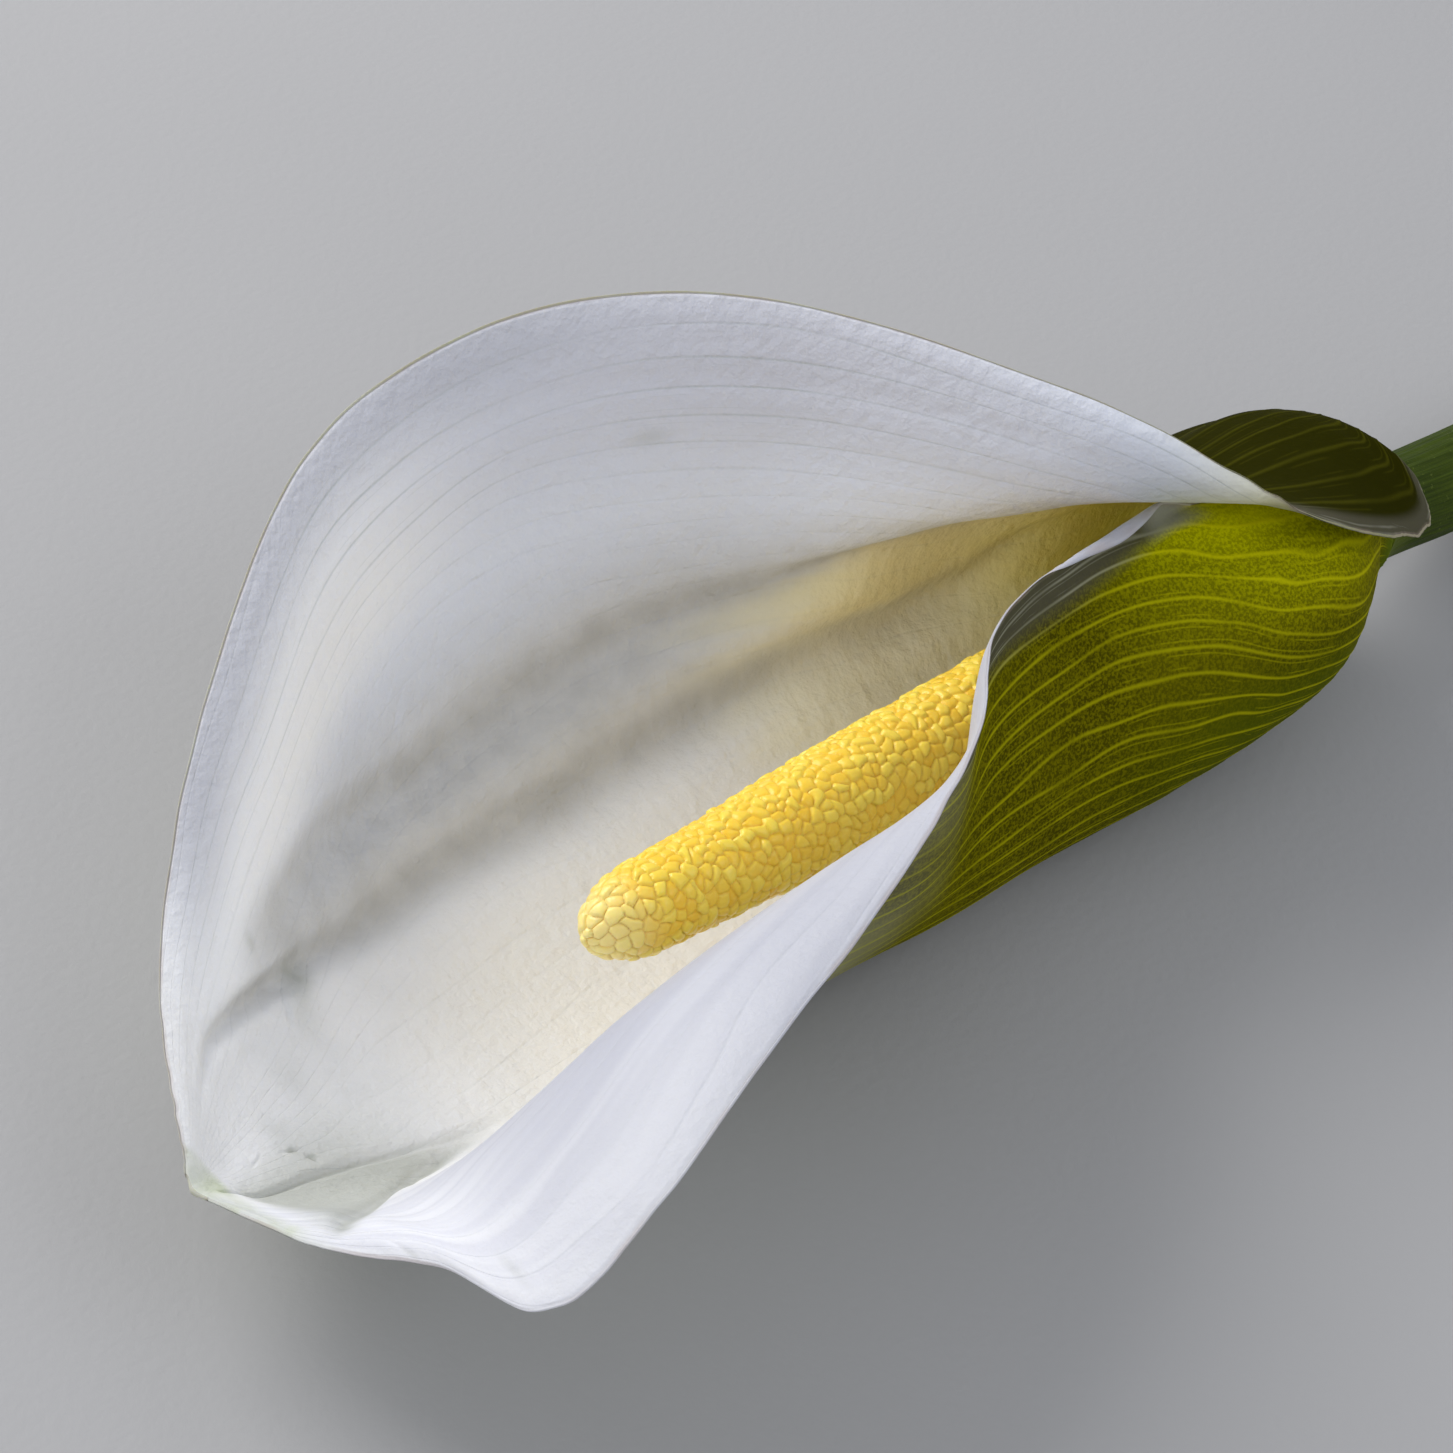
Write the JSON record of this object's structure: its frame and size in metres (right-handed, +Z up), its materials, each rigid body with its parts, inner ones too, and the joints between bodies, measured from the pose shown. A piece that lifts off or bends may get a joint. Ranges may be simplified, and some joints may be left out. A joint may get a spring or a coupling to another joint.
{
  "type": "arum lily flower",
  "caption": "Cut arum lily bloom lying on its side: a funnel-shaped white spathe, open at the front and green at its tube, round a yellow spadix, with a piece of its stalk.",
  "frame": {"origin": "Middle of the bounding box in plan, on the surface that the flower lies on.", "axes": "+X from the spathe's tip to the cut end of the stalk, +Y to the wide side of the spathe, +Z up."},
  "size_m": [0.2842, 0.0934, 0.0507],
  "materials": {
    "spathe": "satin",
    "spadix_male_florets": "matte",
    "spadix_female_florets": "matte",
    "stem": "satin"
  },
  "bodies": {
    "root": {"spathe": "spathe", "spadix_male_florets": "spadix_male_florets", "spadix_female_florets": "spadix_female_florets", "stem": "stem"}
  },
  "joints": []
}
